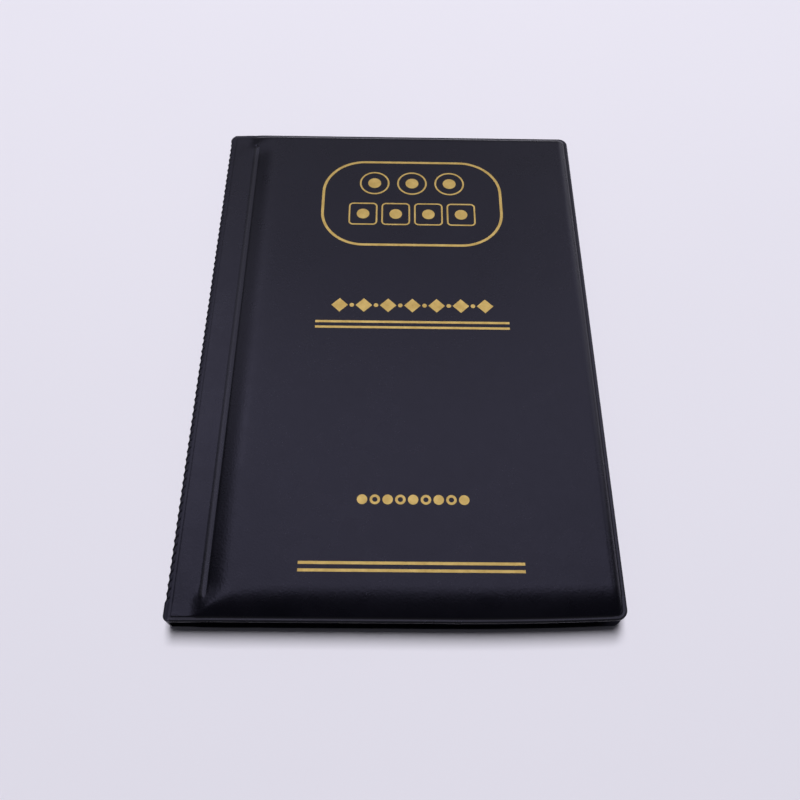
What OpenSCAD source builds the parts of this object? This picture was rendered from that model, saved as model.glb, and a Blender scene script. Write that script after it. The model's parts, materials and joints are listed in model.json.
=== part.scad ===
// Soft-cover pocket coin album. Two padded covers and ten pocket leaves are welded together
// along a toothed edge, and they all turn about a pressed crease beside that edge.
// Origin: middle of the bounding box in plan, on the surface that the closed album lies on.
// X runs from the spine edge to the opening edge, Y along the spine, Z up through the front cover.

/* [Album] */
// Width from the tips of the toothed edge to the opening edge
album_w = 125; // [110:1:140]
// Height of the covers, along the spine
album_l = 180; // [160:1:200]
// Corner radius of the covers
corner_r = 3; // [2:0.5:5]

/* [Covers] */
// Thickness of the outer vinyl sheet
sheet_t = 0.4; // [0.3:0.05:0.5]
// Thickness of the lining sheet inside each cover
lining_t = 0.35; // [0.25:0.05:0.45]
// Thickness of the stiffening card
card_t = 0.75; // [0.5:0.05:1]
// Thickness of the foam over the card
foam_t = 0.95; // [0.8:0.05:1.2]
// Width of the flat welded border outside the pad
border_w = 1.0; // [0.8:0.1:2.5]
// Width of the pad's shoulder at the opening edge
shoulder_x = 4; // [3:0.5:6]
// Width of the pad's shoulder at the head and tail
shoulder_y = 5; // [3:0.5:7]

/* [Spine] */
// Distance from the toothed edge to the middle of the crease rib
crease_in = 10; // [9:0.5:12]
// Radius of the crease rib
rib_r = 0.5; // [0.4:0.05:0.6]
// Distance from each end of the crease rib to the album's edge
rib_end_gap = 6.5; // [5:0.5:9]
// Height of the rib's centre below the top of the pad
rib_drop = 1; // [0.9:0.05:1.1]
// Width of the welded bar that carries the teeth
weld_w = 1.4; // [1.2:0.1:2]
// Distance from one tooth to the next
tooth_pitch = 2.5; // [2:0.1:3]
// Depth of the notches between teeth
tooth_depth = 0.4; // [0.3:0.1:0.8]
// Rise of the binding strip from the welded edge to the crease
strip_rise = 0.45; // [0.3:0.05:0.45]

/* [Leaves] */
// Number of pocket leaves
leaf_count = 10; // [6:1:12]
// Distance from one leaf to the next in the closed album
leaf_pitch = 0.55; // [0.5:0.05:0.7]
// Thickness of a leaf's dark backing sheet
backing_t = 0.2; // [0.15:0.01:0.22]
// Thickness of a leaf's clear pocket film
film_t = 0.15; // [0.1:0.01:0.18]
// Distance from the leaves' edges to the covers' edges
leaf_in = 3; // [2:0.5:5]
// Pockets across a leaf
pocket_cols = 3; // [2:1:4]
// Pockets down a leaf
pocket_rows = 5; // [3:1:6]
// Width of the weld lines between pockets
weld_line = 2; // [1.5:0.5:3]
// Radius of the thumb notch at a pocket's mouth
notch_r = 4; // [3:0.5:5]

/* [Gold foil] */
// Distance of the print's centre line to the right of the album's middle
print_x = 4.6; // [0:0.1:6]
// Width of the frame, between the centres of its lines
frame_w = 62.5; // [50:0.5:70]
// Height of the frame, between the centres of its lines
frame_l = 38; // [36:0.5:44]
// Corner radius of the frame's centre line
frame_r = 14.5; // [8:0.5:17]
// Height of the frame's middle above the album's middle
frame_y = 56.1; // [50:0.1:60]
// Width of the frame's line
frame_line = 0.95; // [0.6:0.05:1.5]
// Width of each rule
rule_line = 0.85; // [0.4:0.05:1]
// Distance between the two rules of a pair
rule_gap = 2.1; // [1.5:0.1:3]

/* [Hidden] */
LEAVES = [for (i = [1:leaf_count]) str("leaf_", i < 10 ? "0" : "", i)];

$fn = 48;
fit = 0.02;                 // play between parts that lie on each other inside a cover
pivot_gap = 0.1;            // play between a turning sheet and the crease rib
leaf_air = 0.2;             // free height between the back lining and the lowest leaf
left = -album_w / 2;
right = album_w / 2;
crease_x = left + crease_in;

// Heights, from the table up. The front cover is the back cover's mirror image.
pad_rise = card_t + foam_t;
back_inside = pad_rise + sheet_t + lining_t;
front_inside = back_inside + leaf_air + leaf_count * leaf_pitch;
front_flange = front_inside + lining_t;
front_face = front_flange + sheet_t;
album_t = front_face + pad_rise;
hinge_z = album_t - rib_drop;

// The binding strip stays low enough for the front cover to lie on it, turned right over.
strip_edge_z = 2 * hinge_z - album_t - 0.2;
strip_crease_z = strip_edge_z + strip_rise;
strip_steps = 10;
margin_gap = 0.2;
margin_low = album_t - strip_edge_z + sheet_t + margin_gap;
margin_pitch = (strip_edge_z - sheet_t - margin_gap - margin_low) / leaf_count;
margin_t = margin_pitch - 0.05;
turn_in = rib_r + pivot_gap;

foil_t = 0.05;
coin_r = 5.3;
coin_line = 0.6;
coin_dot_r = 2.3;
coin_pitch = 13.3;
tile_w = 10;
tile_line = 0.55;
tile_dot_r = 2.2;
tile_pitch = 11.4;
lozenge_r = 2.7;
dot_r = 0.75;
band_pitch = 3.95;
bead_r = 1.5;
bead_pitch = 3.65;
coins_y = frame_y + 8.95;
tiles_y = frame_y - 5.3;
band_y = 12;
beads_y = -55.5;
upper_rules_y = 4.45;
lower_rules_y = -75.2;
lower_rules_x = -0.5;

function mix(a, b, u) = a + (b - a) * u;
// Height of the binding strip's top at u = 0 on the welded edge and u = 1 at the crease
function strip_top(u) = strip_edge_z + strip_rise * pow(u, 1.5);

module rounded(w, l, r) {
    square([w - 2 * r, l], center = true);
    square([w, l - 2 * r], center = true);
    for (sx = [-1, 1], sy = [-1, 1])
        translate([sx * (w / 2 - r), sy * (l / 2 - r)])
            circle(r);
}

module ring(r_out, r_in) {
    difference() {
        circle(r_out);
        circle(r_in);
    }
}

// The album's outline between two X positions
module outline(x_from, x_to) {
    intersection() {
        rounded(album_w, album_l, corner_r);
        translate([x_from, -album_l])
            square([x_to - x_from, 2 * album_l]);
    }
}

module sheet(x_from, x_to, z, t) {
    translate([0, 0, z])
        linear_extrude(t)
            outline(x_from, x_to);
}

module along_crease(z, r, l) {
    translate([crease_x, l / 2, z])
        rotate([90, 0, 0])
            cylinder(r = r, h = l);
}

// Turns a piece of the front half into its partner in the back half
module back_half() {
    translate([0, 0, album_t])
        mirror([0, 0, 1])
            children();
}

// The pad's soft-shouldered block, drawn in by inset all round, standing on the height z
module pad_block(inset, z, rise) {
    foot_left = crease_x + 1.6 + inset;
    foot_right = right - border_w - inset;
    foot_l = album_l - 2 * (border_w + inset);
    steps = [[0, 0], [0.3, 0.55], [0.65, 0.88], [1, 1]];
    hull()
        for (s = steps)
            translate([(foot_left + foot_right) / 2, 0, z + s[1] * (rise - 0.01)])
                linear_extrude(0.01)
                    rounded(foot_right - foot_left - 2 * s[0] * shoulder_x,
                            foot_l - 2 * s[0] * shoulder_y, 2.5, $fn = 32);
}

module cover_skin(x_from) {
    difference() {
        union() {
            sheet(x_from, right, front_flange, sheet_t);
            pad_block(0, front_face, pad_rise);
        }
        pad_block(sheet_t, front_flange - fit, pad_rise + fit);
    }
}

module cover_card() {
    card_in = 1.2;
    x_from = crease_x + 1.6 + sheet_t + card_in;
    x_to = right - border_w - sheet_t - card_in;
    card_l = album_l - 2 * (border_w + sheet_t + 1.4 * card_in);
    translate([(x_from + x_to) / 2, 0, front_flange])
        linear_extrude(card_t - 2 * fit)
            rounded(x_to - x_from, card_l, 2);
}

module cover_foam() {
    foam_z = front_flange + card_t;
    intersection() {
        pad_block(sheet_t + 0.1, front_flange, pad_rise - fit);
        translate([left, -album_l / 2, foam_z])
            cube([album_w, album_l, pad_rise]);
    }
}

module cover_lining(x_from) {
    sheet(x_from, right, front_inside, lining_t);
}

// Puffed vinyl strip between the welded edge and the crease, with a neck that meets the rib
module binding_strip() {
    strip_from = left + weld_w;
    strip_to = crease_x - 0.9;
    top = [for (i = [0:strip_steps])
        [mix(strip_from, strip_to, i / strip_steps), strip_top(i / strip_steps)]];
    neck = [[crease_x - 0.2, hinge_z - 0.2], [crease_x - 0.2, strip_crease_z - sheet_t]];
    under = [for (i = [strip_steps:-1:0])
        [mix(strip_from, strip_to, i / strip_steps), strip_top(i / strip_steps) - sheet_t]];
    difference() {
        intersection() {
            translate([0, album_l / 2, 0])
                rotate([90, 0, 0])
                    linear_extrude(album_l)
                        polygon(concat(top, neck, under));
            sheet(left, crease_x, 0, album_t);
        }
        along_crease(hinge_z, rib_r, 2 * album_l);
    }
}

module crease_rib() {
    rib_l = album_l - 2 * rib_end_gap;
    along_crease(hinge_z, rib_r, rib_l);
}

module leaf_sheet_outline() {
    x_from = crease_x + turn_in;
    x_to = right - leaf_in;
    translate([(x_from + x_to) / 2, 0])
        rounded(x_to - x_from, album_l - 2 * leaf_in, 2);
}

function leaf_z(i) = front_inside - leaf_pitch * i;

// Mouths of the pockets: a slit with a thumb notch under it
module pocket_mouths() {
    x_from = crease_x + turn_in + 3;
    x_to = right - leaf_in - weld_line;
    y_to = album_l / 2 - leaf_in - weld_line;
    col_w = (x_to - x_from) / pocket_cols;
    row_l = 2 * y_to / pocket_rows;
    for (c = [0:pocket_cols - 1], r = [0:pocket_rows - 1])
        translate([x_from + (c + 0.5) * col_w, y_to - r * row_l - 2]) {
            translate([-col_w / 2 + weld_line, -0.5])
                square([col_w - 2 * weld_line, 1]);
            intersection() {
                circle(notch_r);
                translate([-notch_r, -notch_r])
                    square([2 * notch_r, notch_r]);
            }
        }
}

module tile_outline() {
    difference() {
        rounded(tile_w, tile_w, 1.6);
        rounded(tile_w - 2 * tile_line, tile_w - 2 * tile_line, 1.6 - tile_line);
    }
}

module foil() {
    translate([print_x, 0, album_t])
        linear_extrude(foil_t)
            children();
}

// One module per sub-part

module front_cover_skin() {
    color([0.16, 0.16, 0.2])
        cover_skin(crease_x + turn_in);
}

module front_cover_foam() {
    color([0.9, 0.88, 0.8])
        cover_foam();
}

module front_cover_card() {
    color([0.6, 0.58, 0.55])
        cover_card();
}

module front_cover_lining() {
    color([0.1, 0.1, 0.13])
        cover_lining(crease_x + turn_in);
}

module foil_frame() {
    color([0.78, 0.64, 0.38])
        foil()
            translate([0, frame_y])
                difference() {
                    rounded(frame_w + frame_line, frame_l + frame_line, frame_r + frame_line / 2);
                    rounded(frame_w - frame_line, frame_l - frame_line, frame_r - frame_line / 2);
                }
}

module foil_rules() {
    color([0.78, 0.64, 0.38])
        foil()
            for (pair = [[0, upper_rules_y], [lower_rules_x, lower_rules_y]], side = [-1, 1])
                translate([pair[0], pair[1] + side * rule_gap / 2])
                    square([frame_w, rule_line], center = true);
}

// Coins, pocket tiles, lozenges and beads stand where a printed title would be
module foil_ornaments() {
    color([0.78, 0.64, 0.38])
        foil() {
            for (i = [-1:1])
                translate([i * coin_pitch, coins_y]) {
                    ring(coin_r, coin_r - coin_line);
                    circle(coin_dot_r);
                }
            for (i = [-1.5:1.5])
                translate([i * tile_pitch, tiles_y]) {
                    tile_outline();
                    circle(tile_dot_r);
                }
            for (i = [-6:6])
                translate([i * band_pitch, band_y])
                    if (i % 2 == 0)
                        circle(lozenge_r, $fn = 4);
                    else
                        circle(dot_r);
            for (i = [-4:4])
                translate([i * bead_pitch, beads_y])
                    if (i % 2 == 0)
                        circle(bead_r);
                    else
                        ring(bead_r, bead_r / 2);
        }
}

module back_cover_skin() {
    color([0.16, 0.16, 0.2])
        back_half()
            difference() {
                cover_skin(crease_x);
                along_crease(hinge_z, rib_r, 2 * album_l);
            }
}

module back_cover_foam() {
    color([0.9, 0.88, 0.8])
        back_half()
            cover_foam();
}

module back_cover_card() {
    color([0.6, 0.58, 0.55])
        back_half()
            cover_card();
}

module back_cover_lining() {
    color([0.1, 0.1, 0.13])
        back_half()
            cover_lining(crease_x);
}

module front_binding_strip() {
    color([0.17, 0.17, 0.21])
        binding_strip();
}

module back_binding_strip() {
    color([0.17, 0.17, 0.21])
        back_half()
            binding_strip();
}

module front_crease_rib() {
    color([0.22, 0.22, 0.28])
        crease_rib();
}

module back_crease_rib() {
    color([0.22, 0.22, 0.28])
        back_half()
            crease_rib();
}

// Welded bar whose outer side is cut into slanting teeth
module toothed_edge_weld() {
    tooth_run = album_l / 2 - corner_r - tooth_pitch;
    teeth = floor(2 * tooth_run / tooth_pitch);
    weld_low = album_t - strip_edge_z;
    color([0.14, 0.14, 0.17])
        translate([0, 0, weld_low])
            linear_extrude(strip_edge_z - weld_low)
                difference() {
                    outline(left, left + weld_w);
                    for (i = [0:teeth - 1])
                        translate([left, (i - teeth / 2) * tooth_pitch])
                            polygon([[-0.1, 0], [tooth_depth, 0.7 * tooth_pitch],
                                     [-0.1, 0.6 * tooth_pitch]]);
                }
}

// The leaves' inner margins, pressed together inside the binding strips
module leaf_binding_margins() {
    color([0.08, 0.08, 0.1])
        for (i = [0:leaf_count - 1])
            sheet(left + weld_w, crease_x - 1, margin_low + i * margin_pitch, margin_t);
}

module leaf_backing(i) {
    color([0.08, 0.08, 0.1])
        translate([0, 0, leaf_z(i)])
            linear_extrude(backing_t)
                leaf_sheet_outline();
}

module leaf_pocket_film(i) {
    color([0.75, 0.8, 0.85, 0.4])
        translate([0, 0, leaf_z(i) + backing_t])
            linear_extrude(film_t)
                difference() {
                    leaf_sheet_outline();
                    pocket_mouths();
                }
}

front_cover_skin();
front_cover_foam();
front_cover_card();
front_cover_lining();
foil_frame();
foil_rules();
foil_ornaments();
back_cover_skin();
back_cover_foam();
back_cover_card();
back_cover_lining();
front_binding_strip();
back_binding_strip();
front_crease_rib();
back_crease_rib();
toothed_edge_weld();
leaf_binding_margins();
for (i = [1:leaf_count]) {
    leaf_backing(i);
    leaf_pocket_film(i);
}
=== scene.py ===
"""Looks of a soft-cover pocket coin album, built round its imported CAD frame.

Lengths in the building functions are in millimetres and become metres where a mesh is made.
X runs from the toothed spine edge to the opening edge, Y along the spine, Z up.
"""
import json
import math

import bpy
import numpy as np
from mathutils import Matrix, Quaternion, Vector

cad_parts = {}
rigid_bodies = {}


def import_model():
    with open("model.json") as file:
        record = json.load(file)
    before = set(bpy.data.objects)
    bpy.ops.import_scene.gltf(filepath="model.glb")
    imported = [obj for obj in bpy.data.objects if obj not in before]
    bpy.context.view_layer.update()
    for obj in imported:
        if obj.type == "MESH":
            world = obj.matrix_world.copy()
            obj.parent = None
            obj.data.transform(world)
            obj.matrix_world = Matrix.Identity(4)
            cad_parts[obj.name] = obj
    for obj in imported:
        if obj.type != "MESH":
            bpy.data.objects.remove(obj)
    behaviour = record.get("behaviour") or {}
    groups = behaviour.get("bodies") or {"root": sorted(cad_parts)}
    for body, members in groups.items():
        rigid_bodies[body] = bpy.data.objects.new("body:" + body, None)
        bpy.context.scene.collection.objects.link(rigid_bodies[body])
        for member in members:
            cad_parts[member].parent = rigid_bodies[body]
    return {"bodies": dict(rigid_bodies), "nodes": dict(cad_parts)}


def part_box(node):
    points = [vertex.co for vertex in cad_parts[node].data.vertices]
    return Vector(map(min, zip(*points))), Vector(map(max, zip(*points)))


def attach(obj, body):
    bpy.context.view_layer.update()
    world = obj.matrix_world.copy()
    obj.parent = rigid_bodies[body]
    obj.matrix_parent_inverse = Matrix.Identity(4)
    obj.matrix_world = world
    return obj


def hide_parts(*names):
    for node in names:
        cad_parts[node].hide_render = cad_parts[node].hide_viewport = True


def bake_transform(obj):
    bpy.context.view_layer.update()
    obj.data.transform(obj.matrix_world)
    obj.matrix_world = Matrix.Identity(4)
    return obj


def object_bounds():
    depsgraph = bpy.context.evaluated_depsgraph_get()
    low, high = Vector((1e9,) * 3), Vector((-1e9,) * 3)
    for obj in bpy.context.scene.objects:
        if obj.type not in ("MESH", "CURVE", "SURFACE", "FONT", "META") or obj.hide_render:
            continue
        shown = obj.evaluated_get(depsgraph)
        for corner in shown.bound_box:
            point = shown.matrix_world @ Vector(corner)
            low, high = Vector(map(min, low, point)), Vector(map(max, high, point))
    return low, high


MM = 0.001
ROOT = "spine_and_back_cover"
COVER = "front_cover"

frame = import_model()
cad_low, cad_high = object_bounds()


def node_box(node):
    """A CAD node's lowest and highest corners, in millimetres."""
    low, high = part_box(node)
    return np.array(low) / MM, np.array(high) / MM


# ---------------------------------------------------------------- sizes from the frame

LEFT = cad_low[0] / MM
RIGHT = cad_high[0] / MM
HALF_L = cad_high[1] / MM
RIB_LOW, RIB_HIGH = node_box("front_crease_rib")
CREASE_X = (RIB_LOW[0] + RIB_HIGH[0]) / 2
RIB_HALF_L = RIB_HIGH[1]
SKIN_LOW, SKIN_HIGH = node_box("front_cover_skin")
PAD_TOP = SKIN_HIGH[2]
LINING_LOW, LINING_HIGH = node_box("front_cover_lining")
WELD_LOW, WELD_HIGH = node_box("toothed_edge_weld")
LEAF_NAMES = sorted(body for body in frame["bodies"] if body.startswith("leaf_"))

SHEET_T = 0.4
FLANGE_TOP = SKIN_LOW[2] + SHEET_T
PAD_RISE = PAD_TOP - FLANGE_TOP
WELD_IN = WELD_HIGH[0]
WELD_TOP = WELD_HIGH[2]

# The outline: its corners, its flat welded border, and the tail edge's curve at the far corner.
CORNER_R = 3.0
LOW_CORNER_R = 1.6
BORDER_W = 1.0
TAIL_DRAW_IN = 1.3
TAIL_BEND_X = 15
TAIL_BEND_L = 60

# Widths of the pad's shoulders, from the foot to the level panel. The tail's and the head's are
# LEAST_ROLL at the crease and grow by TAIL_ROLL and HEAD_ROLL away from it. RIB_FOOT and END_FOOT
# are where a shoulder starts, measured from the crease: beside the rib, and past its ends.
SIDE_ROLL = 3.0
TAIL_ROLL = 7.5
HEAD_ROLL = 1.2
LEAST_ROLL = 1.5
RIB_ROLL = 8.5
RIB_FOOT = 0.75
END_ROLL = 12
END_FOOT = -3

# The crease's pressed rib.
RIB_REACH = RIB_HALF_L - 0.7
RIB_H = 0.14
RIB_HALF_W_LEFT = 0.85
RIB_HALF_W_RIGHT = 0.75

# The toothed weld's slanting strands.
TOOTH_PITCH = 2.5
TOOTH_DEPTH = 0.38
TOOTH_SLANT = 1.1


def smooth(value, low, high):
    """0 below low, 1 above high, and an even curve between them."""
    t = np.clip((value - low) / (high - low), 0, 1)
    return t * t * (3 - 2 * t)


def bump(value, middle, half_w, power=2):
    """A rounded ridge of height 1 at middle."""
    return np.exp(-np.abs((value - middle) / half_w) ** power)


def steps(*stops):
    """Positions along an axis: (start, end, step) runs joined without repeats."""
    runs = []
    for start, end, step in stops:
        count = max(1, round(abs(end - start) / step))
        runs.append(np.linspace(start, end, count + 1)[:-1])
    return np.append(np.concatenate(runs), stops[-1][1])


# ---------------------------------------------------------------- the cover's surface

def corner_radius(x, y):
    """Radius of the outline's nearest corner: the spine's foot is cut the closest."""
    at_foot = (np.asarray(x) < (LEFT + RIGHT) / 2) & (np.asarray(y) < 0)
    return np.where(at_foot, LOW_CORNER_R, CORNER_R)


def edge_distance(x, y):
    """Distance inside the album's rounded outline."""
    r = corner_radius(x, y)
    mid = (LEFT + RIGHT) / 2
    over_x = np.abs(x - mid) - ((RIGHT - LEFT) / 2 - r)
    over_y = np.abs(y) - (HALF_L - r)
    outside = np.hypot(np.maximum(over_x, 0), np.maximum(over_y, 0))
    inside = np.minimum(np.maximum(over_x, over_y), 0)
    return r - outside - inside


def end_recess(x, y):
    """How far the outline's end has drawn in from the full height at x, by the spine."""
    r = corner_radius(x, y)
    over = np.clip(LEFT + r - x, 0, r)
    return r - np.sqrt(r ** 2 - over ** 2)


def roll(distance, width):
    """A soft shoulder: steepest at its foot, where distance is 0, and level from width on."""
    return 1 - (1 - np.clip(distance / width, 0, 1)) ** 2


def pad_height(x, y):
    """Rise of the foam-filled panel over its narrow welded border.

    The pad swells up from the crease, steepest at its foot. Past the rib's two ends the panel
    sweeps down to the border in a longer curve. The tail's and head's shoulders widen away from
    the crease.
    """
    from_crease = x - CREASE_X
    past_rib = smooth(np.abs(y), RIB_HALF_L - 5, RIB_HALF_L + 3)
    beside_rib = roll(from_crease - RIB_FOOT, RIB_ROLL)
    beside_end = roll(from_crease - END_FOOT, END_ROLL) ** 1.3
    left = beside_rib + (beside_end - beside_rib) * past_rib
    widening = 1 - np.exp(-np.maximum(from_crease + 0.5, 0) / 6)
    right = np.clip((RIGHT - BORDER_W - x) / SIDE_ROLL, 0, 1)
    tail = np.clip((y + HALF_L - BORDER_W) / (LEAST_ROLL + TAIL_ROLL * widening), 0, 1)
    head = np.clip((HALF_L - BORDER_W - y) / (LEAST_ROLL + HEAD_ROLL * widening), 0, 1)
    squareness = 2.6
    drop = (1 - right) ** squareness + (1 - np.minimum(tail, head)) ** squareness
    return PAD_RISE * (1 - np.minimum(drop ** (1 / squareness), 1) ** 2) * left


def base_height(x, y):
    """The binding strip's gentle puff on one side of the crease, the flat border on the other."""
    across = np.clip((x - WELD_IN) / (CREASE_X - WELD_IN), 0, 1)
    climb = 0.45
    puff = 0.12
    end_lift = 0.1
    strip = WELD_TOP + climb * across ** 1.5 - 0.05
    strip += puff * bump(across, 0.45, 0.35) * smooth(HALF_L - np.abs(y), 1, 12)
    strip += end_lift * smooth(np.abs(y), HALF_L - 6, HALF_L)
    return strip + (FLANGE_TOP - strip) * smooth(x, CREASE_X - 1, CREASE_X + 1.5)


def rib_distance(x, y):
    """Distance from the line that the crease's rib stands on."""
    return np.hypot(x - CREASE_X, np.maximum(np.abs(y) - RIB_REACH, 0))


def crease_height(x, y):
    """Pressed rib with a groove on each side, and the shallow dip past its two ends.

    The rib falls off a little faster towards the pad. A dimple marks its end at the head.
    """
    on_left = x < CREASE_X
    half_w = np.where(on_left, RIB_HALF_W_LEFT, RIB_HALF_W_RIGHT)
    rib = RIB_H * bump(rib_distance(x, y), 0, half_w, np.where(on_left, 2.6, 2.4))
    beside_rib = 1 - smooth(np.abs(y), RIB_REACH, RIB_REACH + 0.9)
    grooves = -0.015 * bump(x, CREASE_X - 1.1, 0.25) - 0.1 * bump(x, CREASE_X + 0.9, 0.4)
    past_end = smooth(np.abs(y), RIB_REACH + 0.5, HALF_L - 2)
    dip = -0.15 * bump(x, CREASE_X - 0.6, 1.7) * past_end
    dimple = -0.3 * bump(np.hypot(x - CREASE_X, y - RIB_HALF_L - 0.4), 0, 0.45)
    return rib + grooves * beside_rib + dip + dimple


def cover_surface(x, y):
    """Height of the front sheet's outer face, with its rounded rim and its two pressed lines."""
    inside = edge_distance(x, y)
    past_weld = smooth(x, WELD_IN, WELD_IN + 1.5)
    rim_w = 0.45
    rim = -0.3 * (1 - np.clip(inside / rim_w, 0, 1)) ** 2 * past_weld
    border_line = -0.14 * bump(inside, BORDER_W + 0.1, 0.22) * past_weld
    spine_line = -0.08 * bump(x, WELD_IN + 0.4, 0.24)
    shape = base_height(x, y) + pad_height(x, y) + crease_height(x, y)
    return shape + rim + border_line + spine_line


def tail_draw_in(x, y):
    """How far the covers' tail edge curves in towards the corner by the opening edge."""
    to_corner = np.clip((x - TAIL_BEND_X) / (RIGHT - TAIL_BEND_X), 0, 1)
    to_tail = np.clip(1 - (y + HALF_L) / TAIL_BEND_L, 0, 1)
    return TAIL_DRAW_IN * to_corner ** 1.8 * to_tail ** 1.5


def pressed(x, y):
    """1 where the tool pressed the vinyl smooth, on the rib and along the border; the cover's
    colour gets a painted highlight there.
    """
    on_rib = bump(rib_distance(x, y), 0, 0.8, 4)
    on_border = 1 - smooth(edge_distance(x, y), BORDER_W, BORDER_W + 0.6)
    return np.maximum(on_rib, on_border)


# ---------------------------------------------------------------- mesh building

def make_object(name, vertices, faces, material, sharp_deg=35):
    """A smooth-shaded object from points in millimetres, sharp where faces turn further."""
    mesh = bpy.data.meshes.new(name)
    mesh.from_pydata((np.asarray(vertices) * MM).tolist(), [], faces)
    mesh.validate()
    mesh.polygons.foreach_set("use_smooth", [True] * len(mesh.polygons))
    mesh.set_sharp_from_angle(angle=math.radians(sharp_deg))
    mesh.materials.append(material)
    piece = bpy.data.objects.new(name, mesh)
    bpy.context.collection.objects.link(piece)
    return piece


def sheet_parts(top, under, kept=None):
    """Vertices and faces of a closed sheet between two (rows, columns, 3) grids of points.

    kept says which cells exist; every open side of a kept cell gets a wall.
    """
    rows, columns = top.shape[:2]
    vertices = np.concatenate([top.reshape(-1, 3), under.reshape(-1, 3)])
    below = rows * columns
    if kept is None:
        kept = np.ones((rows - 1, columns - 1), bool)
    faces = []
    for i, j in zip(*np.nonzero(kept)):
        a = i * columns + j
        ring = [a, a + 1, a + columns + 1, a + columns]
        faces.append(ring)
        faces.append([below + v for v in reversed(ring)])
        beside = [(i - 1, j), (i, j + 1), (i + 1, j), (i, j - 1)]
        for side, (m, n) in enumerate(beside):
            inside = 0 <= m < rows - 1 and 0 <= n < columns - 1 and kept[m, n]
            if not inside:
                p, q = ring[side], ring[(side + 1) % 4]
                faces.append([q, p, below + p, below + q])
    return vertices, faces


def set_attribute(piece, name, values):
    """One number at each of a piece's points, for its material to read."""
    attribute = piece.data.attributes.new(name, "FLOAT", "POINT")
    attribute.data.foreach_set("value", values)


def drop_loose(vertices, faces):
    """The points that some face uses, the faces renumbered to suit, and which points stayed."""
    used = sorted({v for face in faces for v in face})
    place = {v: k for k, v in enumerate(used)}
    return vertices[used], [[place[v] for v in face] for face in faces], used


def round_corners(x, y, r, half_l, edge, side=1):
    """Bends a square grid's two corners at an edge into round ones, and leaves the rest."""
    u = (side * (x - edge) + r) / r
    v = (np.abs(y) - (half_l - r)) / r
    corner = (u > 0) & (v > 0)
    new_u = u * np.sqrt(1 - v ** 2 / 2, where=corner, out=np.ones_like(u))
    new_v = v * np.sqrt(1 - u ** 2 / 2, where=corner, out=np.ones_like(v))
    return (np.where(corner, edge + side * (new_u - 1) * r, x),
            np.where(corner, np.sign(y) * (half_l - r + new_v * r), y))


def points(x, y, z):
    """A grid of points from three grids of coordinates."""
    return np.stack([x, y, z], axis=-1)


def cover_points(x, y, z):
    """Points of a cover's piece, with the tail's corner drawn in."""
    return points(x, y + tail_draw_in(x, y), z)


def turned_over(grid):
    """The back half's grid: the front half's, mirrored about the middle of the album."""
    grid = grid.copy()
    grid[..., 2] = PAD_TOP - grid[..., 2]
    return grid


# ---------------------------------------------------------------- materials

NOISE_LOW = 0.3
NOISE_HIGH = 0.7


def new_material(name):
    """A node material, its node tree and its shader."""
    material = bpy.data.materials.new(name)
    material.use_nodes = True
    shader = material.node_tree.nodes["Principled BSDF"]
    return material, material.node_tree, shader


def texture(tree, kind, scale, **settings):
    """A texture node in the object's own coordinates, in features per metre."""
    place = tree.nodes.new("ShaderNodeTexCoord")
    node = tree.nodes.new(kind)
    tree.links.new(place.outputs["Object"], node.inputs["Vector"])
    node.inputs["Scale"].default_value = scale
    for socket, value in settings.items():
        node.inputs[socket.replace("_", " ")].default_value = value
    return node


def point_value(tree, name):
    """The value that a piece's points carry under a name."""
    node = tree.nodes.new("ShaderNodeAttribute")
    node.attribute_name = name
    return node.outputs["Fac"]


def remap(tree, source, low, high, new_low, new_high):
    """A value that runs from new_low to new_high as the source runs from low to high."""
    node = tree.nodes.new("ShaderNodeMapRange")
    tree.links.new(source, node.inputs["Value"])
    node.inputs["From Min"].default_value = low
    node.inputs["From Max"].default_value = high
    node.inputs["To Min"].default_value = new_low
    node.inputs["To Max"].default_value = new_high
    return node.outputs["Result"]


def from_noise(tree, noise, new_low, new_high):
    """A value that runs from new_low to new_high over the range a noise mostly keeps to."""
    return remap(tree, noise.outputs["Fac"], NOISE_LOW, NOISE_HIGH, new_low, new_high)


def combine(tree, operation, first, second):
    """A sum or product; each side is a number or another node's output."""
    node = tree.nodes.new("ShaderNodeMath")
    node.operation = operation
    for socket, value in zip(node.inputs, (first, second)):
        if isinstance(value, (int, float)):
            socket.default_value = value
        else:
            tree.links.new(value, socket)
    return node.outputs["Value"]


def colour_between(tree, factor, dark, light):
    """A mix of two colours; each is three numbers or another node's output."""
    node = tree.nodes.new("ShaderNodeMix")
    node.data_type = "RGBA"
    tree.links.new(factor, node.inputs["Factor"])
    for socket, colour in ((node.inputs["A"], dark), (node.inputs["B"], light)):
        if isinstance(colour, bpy.types.NodeSocket):
            tree.links.new(colour, socket)
        else:
            socket.default_value = (*colour, 1)
    return node.outputs["Result"]


def add_bump(tree, shader, height, distance_mm, strength=1.0):
    """Fine relief: the shader's surface tilts as if height raised it by up to distance_mm."""
    node = tree.nodes.new("ShaderNodeBump")
    node.inputs["Strength"].default_value = strength
    node.inputs["Distance"].default_value = distance_mm * MM
    tree.links.new(height, node.inputs["Height"])
    tree.links.new(node.outputs["Normal"], shader.inputs["Normal"])


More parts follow.
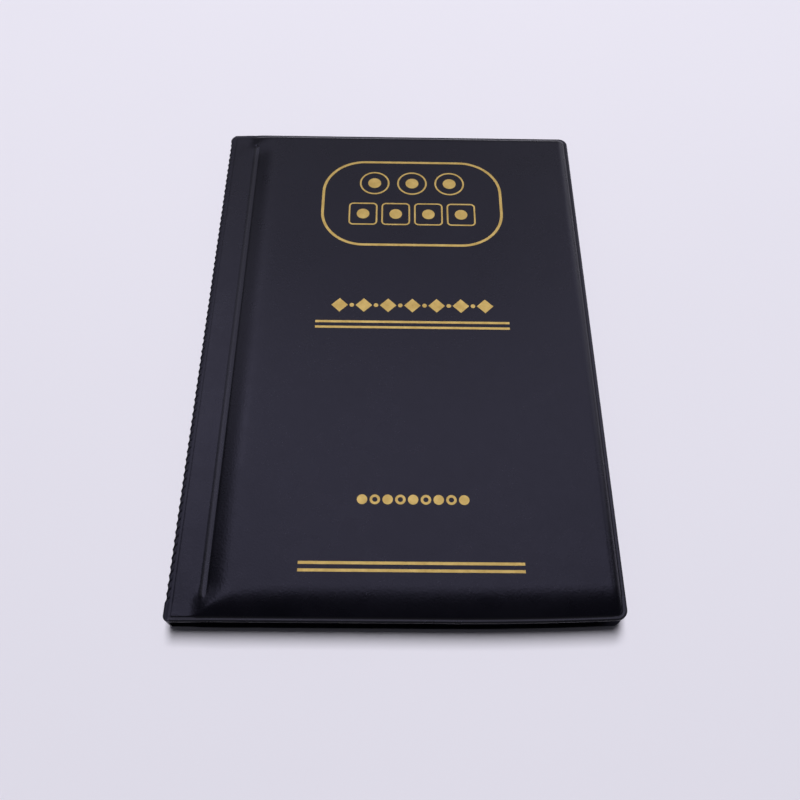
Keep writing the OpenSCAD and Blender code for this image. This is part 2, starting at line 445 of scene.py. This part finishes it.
def vinyl_material(name, dark, light, rough, grain_mm):
    """Calendered vinyl with a fine leather grain, faint clouding, a few dust specks and a painted
    highlight where pressed.
    """
    material, tree, shader = new_material(name)
    cloud = texture(tree, "ShaderNodeTexNoise", 55, Detail=3.0, Roughness=0.55)
    streak = texture(tree, "ShaderNodeTexNoise", 260, Detail=2.0)
    cells = texture(tree, "ShaderNodeTexVoronoi", 1500, Randomness=1.0)
    pores = texture(tree, "ShaderNodeTexNoise", 3800, Detail=2.0)
    dust = texture(tree, "ShaderNodeTexVoronoi", 95, Randomness=1.0)
    speck = remap(tree, dust.outputs["Distance"], 0.02, 0.035, 1, 0)
    speck_gain = 6
    tone = combine(tree, "ADD", from_noise(tree, cloud, 0, 1),
                   combine(tree, "MULTIPLY", speck, speck_gain))
    grained = colour_between(tree, tone, dark, light)
    # Lighter colour where the vinyl was pressed: a painted highlight on the rib and along the
    # border.
    painted_highlight_colour = [value + 0.007 for value in light]
    tree.links.new(colour_between(tree, point_value(tree, "pressed"), grained, painted_highlight_colour),
                   shader.inputs["Base Color"])
    clouded = from_noise(tree, cloud, rough - 0.04, rough + 0.03)
    uneven = combine(tree, "MULTIPLY", streak.outputs["Fac"], 0.08)
    tree.links.new(combine(tree, "ADD", clouded, uneven), shader.inputs["Roughness"])
    leather = combine(tree, "ADD", cells.outputs["Distance"],
                      combine(tree, "MULTIPLY", pores.outputs["Fac"], 0.5))
    add_bump(tree, shader, leather, grain_mm, 0.9)
    shader.inputs["Specular IOR Level"].default_value = 0.5
    shader.inputs["Specular Tint"].default_value = (0.68, 0.66, 1.0, 1)
    return material


def foil_material():
    """Hot-stamped gold: metallic, softly uneven where the grain shows through."""
    material, tree, shader = new_material("gold_foil_print")
    grain = texture(tree, "ShaderNodeTexNoise", 2600, Detail=2.0)
    patch = texture(tree, "ShaderNodeTexNoise", 300, Detail=2.0)
    gold = colour_between(tree, from_noise(tree, patch, 0, 1),
                          (0.72, 0.5, 0.17), (0.88, 0.64, 0.24))
    tree.links.new(gold, shader.inputs["Base Color"])
    tree.links.new(from_noise(tree, grain, 0.38, 0.55), shader.inputs["Roughness"])
    add_bump(tree, shader, grain.outputs["Fac"], 0.02, 0.5)
    shader.inputs["Metallic"].default_value = 1
    return material


def film_material():
    """Clear soft vinyl: glossy, see-through, with a faint haze where a pocket puffs up."""
    material, tree, shader = new_material("clear_pocket_film")
    haze = texture(tree, "ShaderNodeTexNoise", 120, Detail=3.0)
    ripple = texture(tree, "ShaderNodeTexNoise", 160, Detail=1.0)
    milky = remap(tree, point_value(tree, "puffed"), 0, 1, 0.06, 0.2)
    uneven = from_noise(tree, haze, 0.92, 1.08)
    tree.links.new(combine(tree, "MULTIPLY", milky, uneven), shader.inputs["Alpha"])
    tree.links.new(from_noise(tree, haze, 0.08, 0.2), shader.inputs["Roughness"])
    grey = colour_between(tree, haze.outputs["Fac"], (0.28, 0.29, 0.31), (0.33, 0.34, 0.36))
    tree.links.new(grey, shader.inputs["Base Color"])
    add_bump(tree, shader, ripple.outputs["Fac"], 0.3, 0.4)
    shader.inputs["IOR"].default_value = 1.53
    return material


def backing_material():
    """Dark leaf backing: smooth, softly clouded vinyl."""
    material, tree, shader = new_material("leaf_backing_vinyl")
    cloud = texture(tree, "ShaderNodeTexNoise", 80, Detail=3.0)
    fine = texture(tree, "ShaderNodeTexNoise", 2200, Detail=2.0)
    black = colour_between(tree, cloud.outputs["Fac"],
                           (0.004, 0.004, 0.006), (0.009, 0.009, 0.013))
    tree.links.new(black, shader.inputs["Base Color"])
    tree.links.new(from_noise(tree, cloud, 0.36, 0.48), shader.inputs["Roughness"])
    add_bump(tree, shader, fine.outputs["Fac"], 0.02, 0.5)
    return material


def foam_material():
    """Cream foam with open cells."""
    material, tree, shader = new_material("cream_foam")
    cells = texture(tree, "ShaderNodeTexVoronoi", 1400, Randomness=1.0)
    cream = colour_between(tree, cells.outputs["Distance"], (0.5, 0.47, 0.36), (0.8, 0.77, 0.66))
    tree.links.new(cream, shader.inputs["Base Color"])
    tree.links.new(remap(tree, cells.outputs["Distance"], 0, 1, 0.8, 0.95),
                   shader.inputs["Roughness"])
    add_bump(tree, shader, cells.outputs["Distance"], 0.2)
    return material


def card_material():
    """Grey card with a visible fibre."""
    material, tree, shader = new_material("grey_card")
    fibre = texture(tree, "ShaderNodeTexNoise", 900, Detail=5.0)
    grey = colour_between(tree, fibre.outputs["Fac"], (0.25, 0.23, 0.2), (0.46, 0.43, 0.38))
    tree.links.new(grey, shader.inputs["Base Color"])
    tree.links.new(remap(tree, fibre.outputs["Fac"], 0, 1, 0.75, 0.95),
                   shader.inputs["Roughness"])
    add_bump(tree, shader, fibre.outputs["Fac"], 0.05)
    return material


def floor_material():
    """Pale, faintly blue matt table top."""
    material, tree, shader = new_material("pale_table")
    cloud = texture(tree, "ShaderNodeTexNoise", 6, Detail=3.0)
    pale = colour_between(tree, cloud.outputs["Fac"], (0.8, 0.785, 0.867), (0.825, 0.81, 0.892))
    tree.links.new(pale, shader.inputs["Base Color"])
    shader.inputs["Roughness"].default_value = 0.75
    shader.inputs["Specular IOR Level"].default_value = 0.2
    return material


VINYL = vinyl_material("black_cover_vinyl", (0.0012, 0.0012, 0.002), (0.0026, 0.0025, 0.004),
                       rough=0.25, grain_mm=0.02)
LINING = vinyl_material("black_lining_vinyl", (0.002, 0.002, 0.003), (0.004, 0.004, 0.006),
                        rough=0.5, grain_mm=0.015)
WELDED = vinyl_material("pressed_weld_vinyl", (0.002, 0.002, 0.0032), (0.004, 0.004, 0.006),
                        rough=0.36, grain_mm=0.01)
GOLD = foil_material()
FILM = film_material()
BACKING = backing_material()
FOAM = foam_material()
CARD = card_material()
FLOOR = floor_material()


# ---------------------------------------------------------------- covers

def cover_grid():
    """Rows along Y and columns along X, closest together where the surface bends most."""
    level_step = 2.2
    rim_step = 0.14
    rim_w = 2.7
    rib_w = 2.2
    across = steps((WELD_IN, WELD_IN + 1.2, 0.2), (WELD_IN + 1.2, CREASE_X - rib_w, 0.8),
                   (CREASE_X - rib_w, CREASE_X + rib_w, 0.2),
                   (CREASE_X + rib_w, CREASE_X + 8, 0.6), (CREASE_X + 8, RIGHT - 8, level_step),
                   (RIGHT - 8, RIGHT - rim_w, 0.5), (RIGHT - rim_w, RIGHT, rim_step))
    half = steps((0, RIB_HALF_L - 4, level_step), (RIB_HALF_L - 4, RIB_HALF_L + 1.5, 0.25),
                 (RIB_HALF_L + 1.5, HALF_L - rim_w, 0.4), (HALF_L - rim_w, HALF_L, rim_step))
    along = np.concatenate([-half[:0:-1], half])
    x, y = np.meshgrid(across, along)
    x, y = round_corners(x, y, CORNER_R, HALF_L, RIGHT)
    near_end = np.clip((np.abs(y) - HALF_L + CORNER_R) / CORNER_R, 0, 1)
    return x, y - np.sign(y) * near_end * end_recess(x, y)


def cover_layer(name, x, y, top_z, under_z, material, back):
    """One layer of a cover, between two heights on a grid, turned over for the back cover."""
    top = cover_points(x, y, top_z)
    under = cover_points(x, y, under_z)
    if back:
        top, under = turned_over(under), turned_over(top)
    vertices, faces = sheet_parts(top, under)
    return make_object(name, vertices, faces, material)


def cover_sheet(name, back=False):
    """The outer vinyl sheet, from the welded edge over the crease to the opening edge."""
    x, y = cover_grid()
    z = cover_surface(x, y)
    piece = cover_layer(name, x, y, z, z - SHEET_T, VINYL, back)
    # The pressed mask lightens the cover vinyl's colour: a painted highlight on the rib and the
    # border.
    set_attribute(piece, "pressed", np.tile(pressed(x, y).ravel(), 2))
    return piece


def lining_sheet(name, back=False):
    """The thinner sheet inside a cover, welded to the outer one round its border."""
    x, y = cover_grid()
    thickness = 0.25
    gap = 0.08
    sag = 0.2
    z = np.minimum(base_height(x, y) - SHEET_T - gap, LINING_HIGH[2] - 0.02)
    z -= sag * (1 - smooth(x, CREASE_X - 3, CREASE_X + 1)) * bump(x, CREASE_X - 3, 4)
    return cover_layer(name, x, y, z, z - thickness, LINING, back)


def foam_pad(name, node, back=False):
    """Foam under the outer sheet: it stands on the card and follows the sheet's shoulders."""
    low, high = node_box(node)
    card_room = 0.75
    corner_r = 4
    foot = FLANGE_TOP - SHEET_T + card_room
    across = steps((low[0], low[0] + 6, 0.6), (low[0] + 6, high[0] - 6, 4),
                   (high[0] - 6, high[0], 0.6))
    along = steps((low[1], low[1] + 8, 0.8), (low[1] + 8, high[1] - 6, 5),
                  (high[1] - 6, high[1], 0.8))
    x, y = np.meshgrid(across, along)
    x, y = round_corners(x, y, corner_r, high[1], high[0])
    x, y = round_corners(x, y, corner_r, high[1], low[0], side=-1)
    gap = 0.03
    least = 0.05
    z = np.maximum(cover_surface(x, y) - SHEET_T - gap, foot + least)
    return cover_layer(name, x, y, z, np.full_like(x, foot), FOAM, back)


# ---------------------------------------------------------------- toothed weld

def weld_rows():
    """Y positions along the weld bar, closest where its ends follow the outline's corners."""
    gap = 0.01
    fine = 0.1
    rows_per_tooth = 12
    low_end = -HALF_L + float(end_recess(WELD_IN, -HALF_L)) + gap
    high_end = HALF_L - float(end_recess(WELD_IN, HALF_L)) - gap
    return steps((low_end, -HALF_L + 3, fine),
                 (-HALF_L + 3, HALF_L - 4, TOOTH_PITCH / rows_per_tooth),
                 (HALF_L - 4, high_end, fine))


def weld_teeth(name):
    """Welded bar with slanting pressed strands, like a twisted rope, down its outer side.

    The strands and the notches between them fade out before the bar's two plain ends.
    """
    profile = np.array([0, 0.1, 0.2, 0.32, 0.44, 0.56, 0.68, 0.79, 0.88, 0.95, 1.0])
    strand_h = 0.32
    plain_h = 0.2
    between_strands = WELD_TOP - 0.14
    least_w = 0.02
    y_rows = weld_rows()
    toothed = smooth(y_rows, -HALF_L + 4.5, -HALF_L + 6) * smooth(HALF_L - 3.2 - y_rows, 0, 1.5)
    rows = []
    for y, teeth in zip(y_rows, toothed):
        r = float(corner_radius(LEFT, y))
        past = max(abs(y) - (HALF_L - r), 0)
        corner = r - math.sqrt(r ** 2 - past ** 2)
        notch = TOOTH_DEPTH * teeth * abs(math.sin(math.pi * y / TOOTH_PITCH))
        outer = LEFT + corner + notch
        x = WELD_IN - max(WELD_IN - outer, least_w) * profile
        phase = ((y - TOOTH_SLANT * (x - LEFT)) / TOOTH_PITCH) % 1
        strand = strand_h * teeth * np.sin(np.pi * phase ** 0.6) * smooth(profile, 0.1, 0.45)
        plain = plain_h * (1 - teeth) * smooth(profile, 0.1, 0.5)
        rim = 0.1 * profile ** 5
        top = between_strands + strand + plain - rim
        upper = points(x, np.full_like(x, y), top)
        lower = points(x[::-1], np.full_like(x, y), WELD_LOW[2] + (WELD_TOP - top[::-1]))
        rows.append(np.concatenate([upper, lower]))
    grid = np.array(rows)
    around = grid.shape[1]
    faces = []
    for i in range(len(rows) - 1):
        for j in range(around):
            k = (j + 1) % around
            faces.append([i * around + k, i * around + j,
                          (i + 1) * around + j, (i + 1) * around + k])
    last = (len(rows) - 1) * around
    faces.append(list(range(around)))
    faces.append([last + j for j in reversed(range(around))])
    return make_object(name, grid.reshape(-1, 3), faces, WELDED, sharp_deg=50)


# ---------------------------------------------------------------- gold foil

FOIL_T = 0.03
FOIL_SUNK = 0.01
FRAME_LOW, FRAME_HIGH = node_box("foil_frame")
PRINT_X = (FRAME_LOW[0] + FRAME_HIGH[0]) / 2
FRAME_Y = (FRAME_LOW[1] + FRAME_HIGH[1]) / 2
FRAME_W = FRAME_HIGH[0] - FRAME_LOW[0]
FRAME_L = FRAME_HIGH[1] - FRAME_LOW[1]
FRAME_LINE = 0.95
FRAME_R = 14.5
COINS_Y = FRAME_Y + 8.95
TILES_Y = FRAME_Y - 5.3
LOZENGES_Y = 12
BEADS_Y = -55.5


def rounded_loop(w, l, r, per_corner=16, per_side=12):
    """Points round a rectangle with round corners, from the top of its right-hand side on."""
    corners = [(1, 1), (-1, 1), (-1, -1), (1, -1)]

    def on_corner(quarter, quarters_round):
        """The point on one corner's arc, so many quarter turns round from the right."""
        sx, sy = corners[quarter % 4]
        angle = quarters_round * math.pi / 2
        return np.array([sx * (w / 2 - r) + r * math.cos(angle),
                         sy * (l / 2 - r) + r * math.sin(angle)])

    loop = []
    for quarter in range(4):
        for k in range(per_corner + 1):
            loop.append(on_corner(quarter, quarter + k / per_corner))
        start = loop[-1]
        end = on_corner(quarter + 1, quarter + 1)
        for k in range(1, per_side):
            loop.append(start + (end - start) * k / per_side)
    return np.array(loop)


def circle_loop(r, count=40):
    """Points round a circle; four of them make a lozenge."""
    angle = np.linspace(0, 2 * np.pi, count, endpoint=False)
    return np.stack([r * np.cos(angle), r * np.sin(angle)], axis=1)


def band_patch(outer, inner, middle):
    """Foil between two loops with the same number of points."""
    loops = np.stack([inner, outer]) + np.array(middle)
    return np.concatenate([loops, loops[:, :1]], axis=1)


def disc_patch(loop, middle):
    """Foil that fills a loop, but for a pinhole too small to see."""
    return band_patch(loop, loop * 0.02, middle)


def bar_patch(w, l, middle):
    """A straight bar of foil, cut fine enough to follow the surface."""
    x, y = np.meshgrid(np.linspace(-w / 2, w / 2, 40), np.linspace(-l / 2, l / 2, 3))
    return np.stack([x, y], axis=-1) + np.array(middle)


def foil_piece(name, node, patches):
    """One print: thin metal patches that lie on the cover's surface."""
    vertices, faces = [], []
    for patch in patches:
        x, y = patch[..., 0], patch[..., 1]
        z = cover_surface(x, y)
        part, part_faces = sheet_parts(points(x, y, z + FOIL_T), points(x, y, z - FOIL_SUNK))
        start = sum(len(v) for v in vertices)
        vertices.append(part)
        faces += [[start + v for v in face] for face in part_faces]
    piece = make_object(name, np.concatenate(vertices), faces, GOLD)
    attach(piece, COVER)
    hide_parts(node)


def frame_patches():
    """The rounded frame's line, with FRAME_R at the line's middle."""
    outer = rounded_loop(FRAME_W, FRAME_L, FRAME_R + FRAME_LINE / 2)
    inner = rounded_loop(FRAME_W - 2 * FRAME_LINE, FRAME_L - 2 * FRAME_LINE,
                         FRAME_R - FRAME_LINE / 2)
    return [band_patch(outer, inner, (PRINT_X, FRAME_Y))]


def rule_patches():
    """Two pairs of rules; the lower pair is printed a little to the left of the upper one."""
    low, high = node_box("foil_rules")
    line = 0.85
    gap = 2.1
    shift = 0.5
    width = high[0] - low[0] - shift
    pairs = [(low[0] + width / 2, low[1] + line / 2),
             (high[0] - width / 2, high[1] - line / 2 - gap)]
    return [bar_patch(width, line, (x, y + side)) for x, y in pairs for side in (0, gap)]


def ornament_patches():
    """Coins, pocket tiles, lozenges and beads, where a title would be printed."""
    return coin_patches() + tile_patches() + lozenge_patches() + bead_patches()


def coin_patches():
    """Three coins in the frame: a ring round a disc each."""
    coin_r = 5.3
    line = 0.6
    disc_r = 2.3
    pitch = 13.3
    patches = []
    for i in (-1, 0, 1):
        middle = (PRINT_X + pitch * i, COINS_Y)
        patches.append(band_patch(circle_loop(coin_r), circle_loop(coin_r - line), middle))
        patches.append(disc_patch(circle_loop(disc_r), middle))
    return patches


def tile_patches():
    """Four pocket tiles under the coins: a rounded square round a disc each."""
    side = 10
    corner_r = 1.6
    line = 0.55
    disc_r = 2.2
    pitch = 11.4
    inner_side = side - 2 * line
    outer = rounded_loop(side, side, corner_r, 5, 3)
    inner = rounded_loop(inner_side, inner_side, corner_r - line, 5, 3)
    patches = []
    for i in (-1.5, -0.5, 0.5, 1.5):
        middle = (PRINT_X + pitch * i, TILES_Y)
        patches.append(band_patch(outer, inner, middle))
        patches.append(disc_patch(circle_loop(disc_r), middle))
    return patches


def lozenge_patches():
    """A row of lozenges with a dot between each two, over the upper rules."""
    lozenge_r = 2.7
    dot_r = 0.75
    pitch = 3.95
    patches = []
    for i in range(-6, 7):
        loop = circle_loop(dot_r, 16) if i % 2 else circle_loop(lozenge_r, 4)
        patches.append(disc_patch(loop, (PRINT_X + pitch * i, LOZENGES_Y)))
    return patches


def bead_patches():
    """A row of beads over the lower rules, every other one a ring."""
    bead_r = 1.5
    ring_hole_r = 0.75
    pinhole_r = 0.03
    pitch = 3.65
    patches = []
    for i in range(-4, 5):
        hole = circle_loop(ring_hole_r if i % 2 else pinhole_r, 28)
        middle = (PRINT_X + pitch * i, BEADS_Y)
        patches.append(band_patch(circle_loop(bead_r, 28), hole, middle))
    return patches


# ---------------------------------------------------------------- leaves

POCKET_COLS = 3
POCKET_ROWS = 5
WELD_LINE = 2.0
NOTCH_R = 4.0
MOUTH = 1.0
PUFF_H = 0.08
BACKING_T = 0.16
CLEAR_T = 0.12
FILM_GAP = 0.01
MARGIN_LOW, MARGIN_HIGH = node_box("leaf_binding_margins")
BOUND_RUNS = ((WELD_IN + 0.05, CREASE_X - 4, 1.5), (CREASE_X - 4, CREASE_X + 2, 0.4))


def leaf_base(x, rank, leaf_z):
    """Height of a leaf's underside: pressed in with the others at the spine, free past it."""
    pitch = (MARGIN_HIGH[2] - MARGIN_LOW[2] + 0.05) / len(LEAF_NAMES)
    bound_z = MARGIN_LOW[2] + (len(LEAF_NAMES) - 1 - rank) * pitch
    return bound_z + (leaf_z - bound_z) * smooth(x, CREASE_X - 4, CREASE_X + 1.5)


def leaf_backing(name, rank, low, high):
    """A leaf's dark sheet, with round corners at its opening edge."""
    rim_w = 3
    fine = 0.5
    corner_r = 2
    across = steps(*BOUND_RUNS, (CREASE_X + 2, high[0] - rim_w, 5),
                   (high[0] - rim_w, high[0], fine))
    along = steps((low[1], low[1] + rim_w, fine), (low[1] + rim_w, high[1] - rim_w, 8),
                  (high[1] - rim_w, high[1], fine))
    x, y = np.meshgrid(across, along)
    x, y = round_corners(x, y, corner_r, high[1], high[0])
    z = leaf_base(x, rank, low[2])
    vertices, faces = sheet_parts(points(x, y, z + BACKING_T), points(x, y, z))
    return make_object(name, vertices, faces, BACKING)


def pocket_lines(start, end, count):
    """The start and end of each pocket's opening between weld lines."""
    room = (end - start) / count
    return [(start + k * room + WELD_LINE / 2, start + (k + 1) * room - WELD_LINE / 2)
            for k in range(count)]


def leaf_film(name, rank, low, high):
    """Clear film with a weld grid, softly puffed pockets and a thumb-notched mouth on each.

    A pocket runs from foot to head and from left to right. Its mouth is a slot just under its
    head, and the notch dips into the film at the middle of the slot's lower side.
    """
    columns = pocket_lines(CREASE_X + 3, high[0] - WELD_LINE / 2, POCKET_COLS)
    rows = pocket_lines(low[1] + WELD_LINE / 2, high[1] - WELD_LINE / 2, POCKET_ROWS)
    lip = 1
    hair = 1e-6
    across = np.concatenate([steps(*BOUND_RUNS)]
                            + [np.linspace(left, right, 17) for left, right in columns]
                            + [[high[0]]])
    along = [[low[1]]]
    for foot, head in rows:
        along += [np.linspace(foot, head - MOUTH - lip, 9), [head - lip, head]]
    along = np.concatenate(along + [[high[1]]])
    x, y = np.meshgrid(across, along)
    kept = np.ones((len(along) - 1, len(across) - 1), bool)
    puff = np.zeros_like(x)
    for foot, head in rows:
        slot_low = head - MOUTH - lip
        slot_high = head - lip
        for left, right in columns:
            u = np.clip((x - left) / (right - left), 0, 1)
            v = np.clip((y - foot) / (head - foot), 0, 1)
            puff += PUFF_H * (np.sin(np.pi * u) * np.sin(np.pi * v)) ** 0.5
            under_slot = (y >= foot) & (y <= slot_low + hair) & (x >= left) & (x <= right)
            notch = np.sqrt(np.maximum(NOTCH_R ** 2 - (x - (left + right) / 2) ** 2, 0))
            y = np.where(under_slot, y - notch * v ** 3, y)
            cell_x = (across[:-1] >= left - hair) & (across[1:] <= right + hair)
            cell_y = (along[:-1] >= slot_low - hair) & (along[1:] <= slot_high + hair)
            kept[np.ix_(cell_y, cell_x)] = False
    z = leaf_base(x, rank, low[2]) + BACKING_T + FILM_GAP + puff
    vertices, faces = sheet_parts(points(x, y, z + CLEAR_T), points(x, y, z), kept)
    vertices, faces, used = drop_loose(vertices, faces)
    piece = make_object(name, vertices, faces, FILM)
    puffs = np.tile(puff.ravel(), 2)[used]
    set_attribute(piece, "puffed", np.clip(puffs / (PUFF_H / 2), 0, 1))
    return piece


def build_leaf(body, rank):
    """One leaf: its backing and its pocket film, bent together at the crease."""
    node = body + "_backing"
    low, high = node_box(node)
    backing = leaf_backing(body + "_sheet", rank, low, high)
    film = leaf_film(body + "_pockets", rank, low, high)
    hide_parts(node)
    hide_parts(body + "_pocket_film")
    for piece in (backing, film):
        fold_at_crease(piece)


def fold_at_crease(piece):
    """Bakes the piece's placement into its points, where it stays as built."""
    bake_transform(piece)


# ---------------------------------------------------------------- assembly

def build_covers():
    """Both covers' outer sheets, linings and foam, and the paint of their card."""
    front = cover_sheet("front_cover_sheet")
    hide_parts("front_cover_skin", "front_binding_strip", "front_crease_rib")
    fold_at_crease(front)
    back = cover_sheet("back_cover_sheet", back=True)
    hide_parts("back_cover_skin", "back_binding_strip", "back_crease_rib")
    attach(back, ROOT)
    front_lining = lining_sheet("front_lining_sheet")
    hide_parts("front_cover_lining")
    fold_at_crease(front_lining)
    back_lining = lining_sheet("back_lining_sheet", back=True)
    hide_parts("back_cover_lining")
    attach(back_lining, ROOT)
    front_foam = foam_pad("front_foam_pad", "front_cover_foam")
    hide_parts("front_cover_foam")
    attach(front_foam, COVER)
    back_foam = foam_pad("back_foam_pad", "back_cover_foam", back=True)
    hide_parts("back_cover_foam")
    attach(back_foam, ROOT)
    for node in ("front_cover_card", "back_cover_card"):
        paint_node(node, CARD)


def paint_node(node, material):
    """Gives a CAD node that shows as it is a material of this scene."""
    mesh = frame["nodes"][node].data
    mesh.materials.clear()
    mesh.materials.append(material)


def build_spine():
    """The weld bar down the spine."""
    teeth = weld_teeth("spine_weld_teeth")
    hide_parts("toothed_edge_weld")
    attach(teeth, ROOT)


def build_print():
    """The gold foil on the front cover."""
    foil_piece("foil_frame_print", "foil_frame", frame_patches())
    foil_piece("foil_rule_print", "foil_rules", rule_patches())
    foil_piece("foil_ornament_print", "foil_ornaments", ornament_patches())


# ---------------------------------------------------------------- camera, lights, floor

def look_from(piece, place, target, roll_deg=0):
    """Puts a camera or lamp at place, facing target, turned about its line of sight."""
    aim = (Vector(target) - Vector(place)).to_track_quat("-Z", "Y")
    piece.location = place
    piece.rotation_mode = "QUATERNION"
    piece.rotation_quaternion = aim @ Quaternion((0, 0, 1), math.radians(roll_deg))


def build_camera():
    """The view: from in front of the tail, looking down, with the album nearly upright."""
    camera = bpy.data.objects.new("camera", bpy.data.cameras.new("camera"))
    camera.data.lens = 36.3
    camera.data.sensor_width = 36
    camera.data.clip_start = 0.01
    bpy.context.collection.objects.link(camera)
    look_from(camera, place=(-0.0018, -0.1410, 0.2264), target=(0.0007, -0.0231, 0.0106),
              roll_deg=1.66)
    bpy.context.scene.camera = camera


def area_light(name, place, target, size, radiance, seen_by):
    """A rectangular lamp of even brightness, seen only by diffuse or only by glossy rays."""
    light = bpy.data.lights.new(name, "AREA")
    light.shape = "RECTANGLE"
    light.size, light.size_y = size
    light.energy = radiance * math.pi * size[0] * size[1]
    light.color = (0.99, 0.98, 1.0)
    lamp = bpy.data.objects.new(name, light)
    lamp.visible_diffuse = seen_by == "diffuse"
    lamp.visible_glossy = seen_by == "glossy"
    bpy.context.collection.objects.link(lamp)
    look_from(lamp, place, target)


def build_studio():
    """A lamp overhead lights the table; white cards above, behind and beside give the sheen."""
    table_size = 6
    bpy.ops.mesh.primitive_plane_add(size=table_size, location=(0, 0, 0))
    floor = bpy.context.object
    floor.name = "table_top"
    floor.data.materials.append(FLOOR)
    area_light("key_above", (0, 0.66, 2.2), (0, 0.66, 0), (0.7, 1.3), 19, "diffuse")
    area_light("card_above", (-0.1, 0.6, 1.6), (-0.1, 0.6, 0), (1.8, 1.0), 1.08, "glossy")
    area_light("card_far", (-0.1, 1.7, 1.6), (-0.1, 1.7, 0), (1.8, 1.2), 0.56, "glossy")
    area_light("card_behind", (0, 2.6, 0.8), (0, 0, 0.8), (2.4, 1.6), 0.2, "glossy")
    area_light("card_right", (1.6, 1.4, 1.2), (0, 0.4, 0), (1.6, 2.0), 0.95, "glossy")
    area_light("card_left", (-1.6, 1.4, 1.5), (-1.2, 1.2, 0), (1.0, 2.2), 0.54, "glossy")
    world = bpy.data.worlds.new("studio")
    bpy.context.scene.world = world
    world.use_nodes = True
    sky = world.node_tree.nodes["Background"]
    sky.inputs["Color"].default_value = (0.9, 0.9, 1.0, 1)
    sky.inputs["Strength"].default_value = 0.05
    bpy.context.scene.view_settings.view_transform = "Standard"


build_covers()
build_spine()
build_print()
for rank, body in enumerate(LEAF_NAMES):
    build_leaf(body, rank)
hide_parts("leaf_binding_margins")
build_camera()
build_studio()
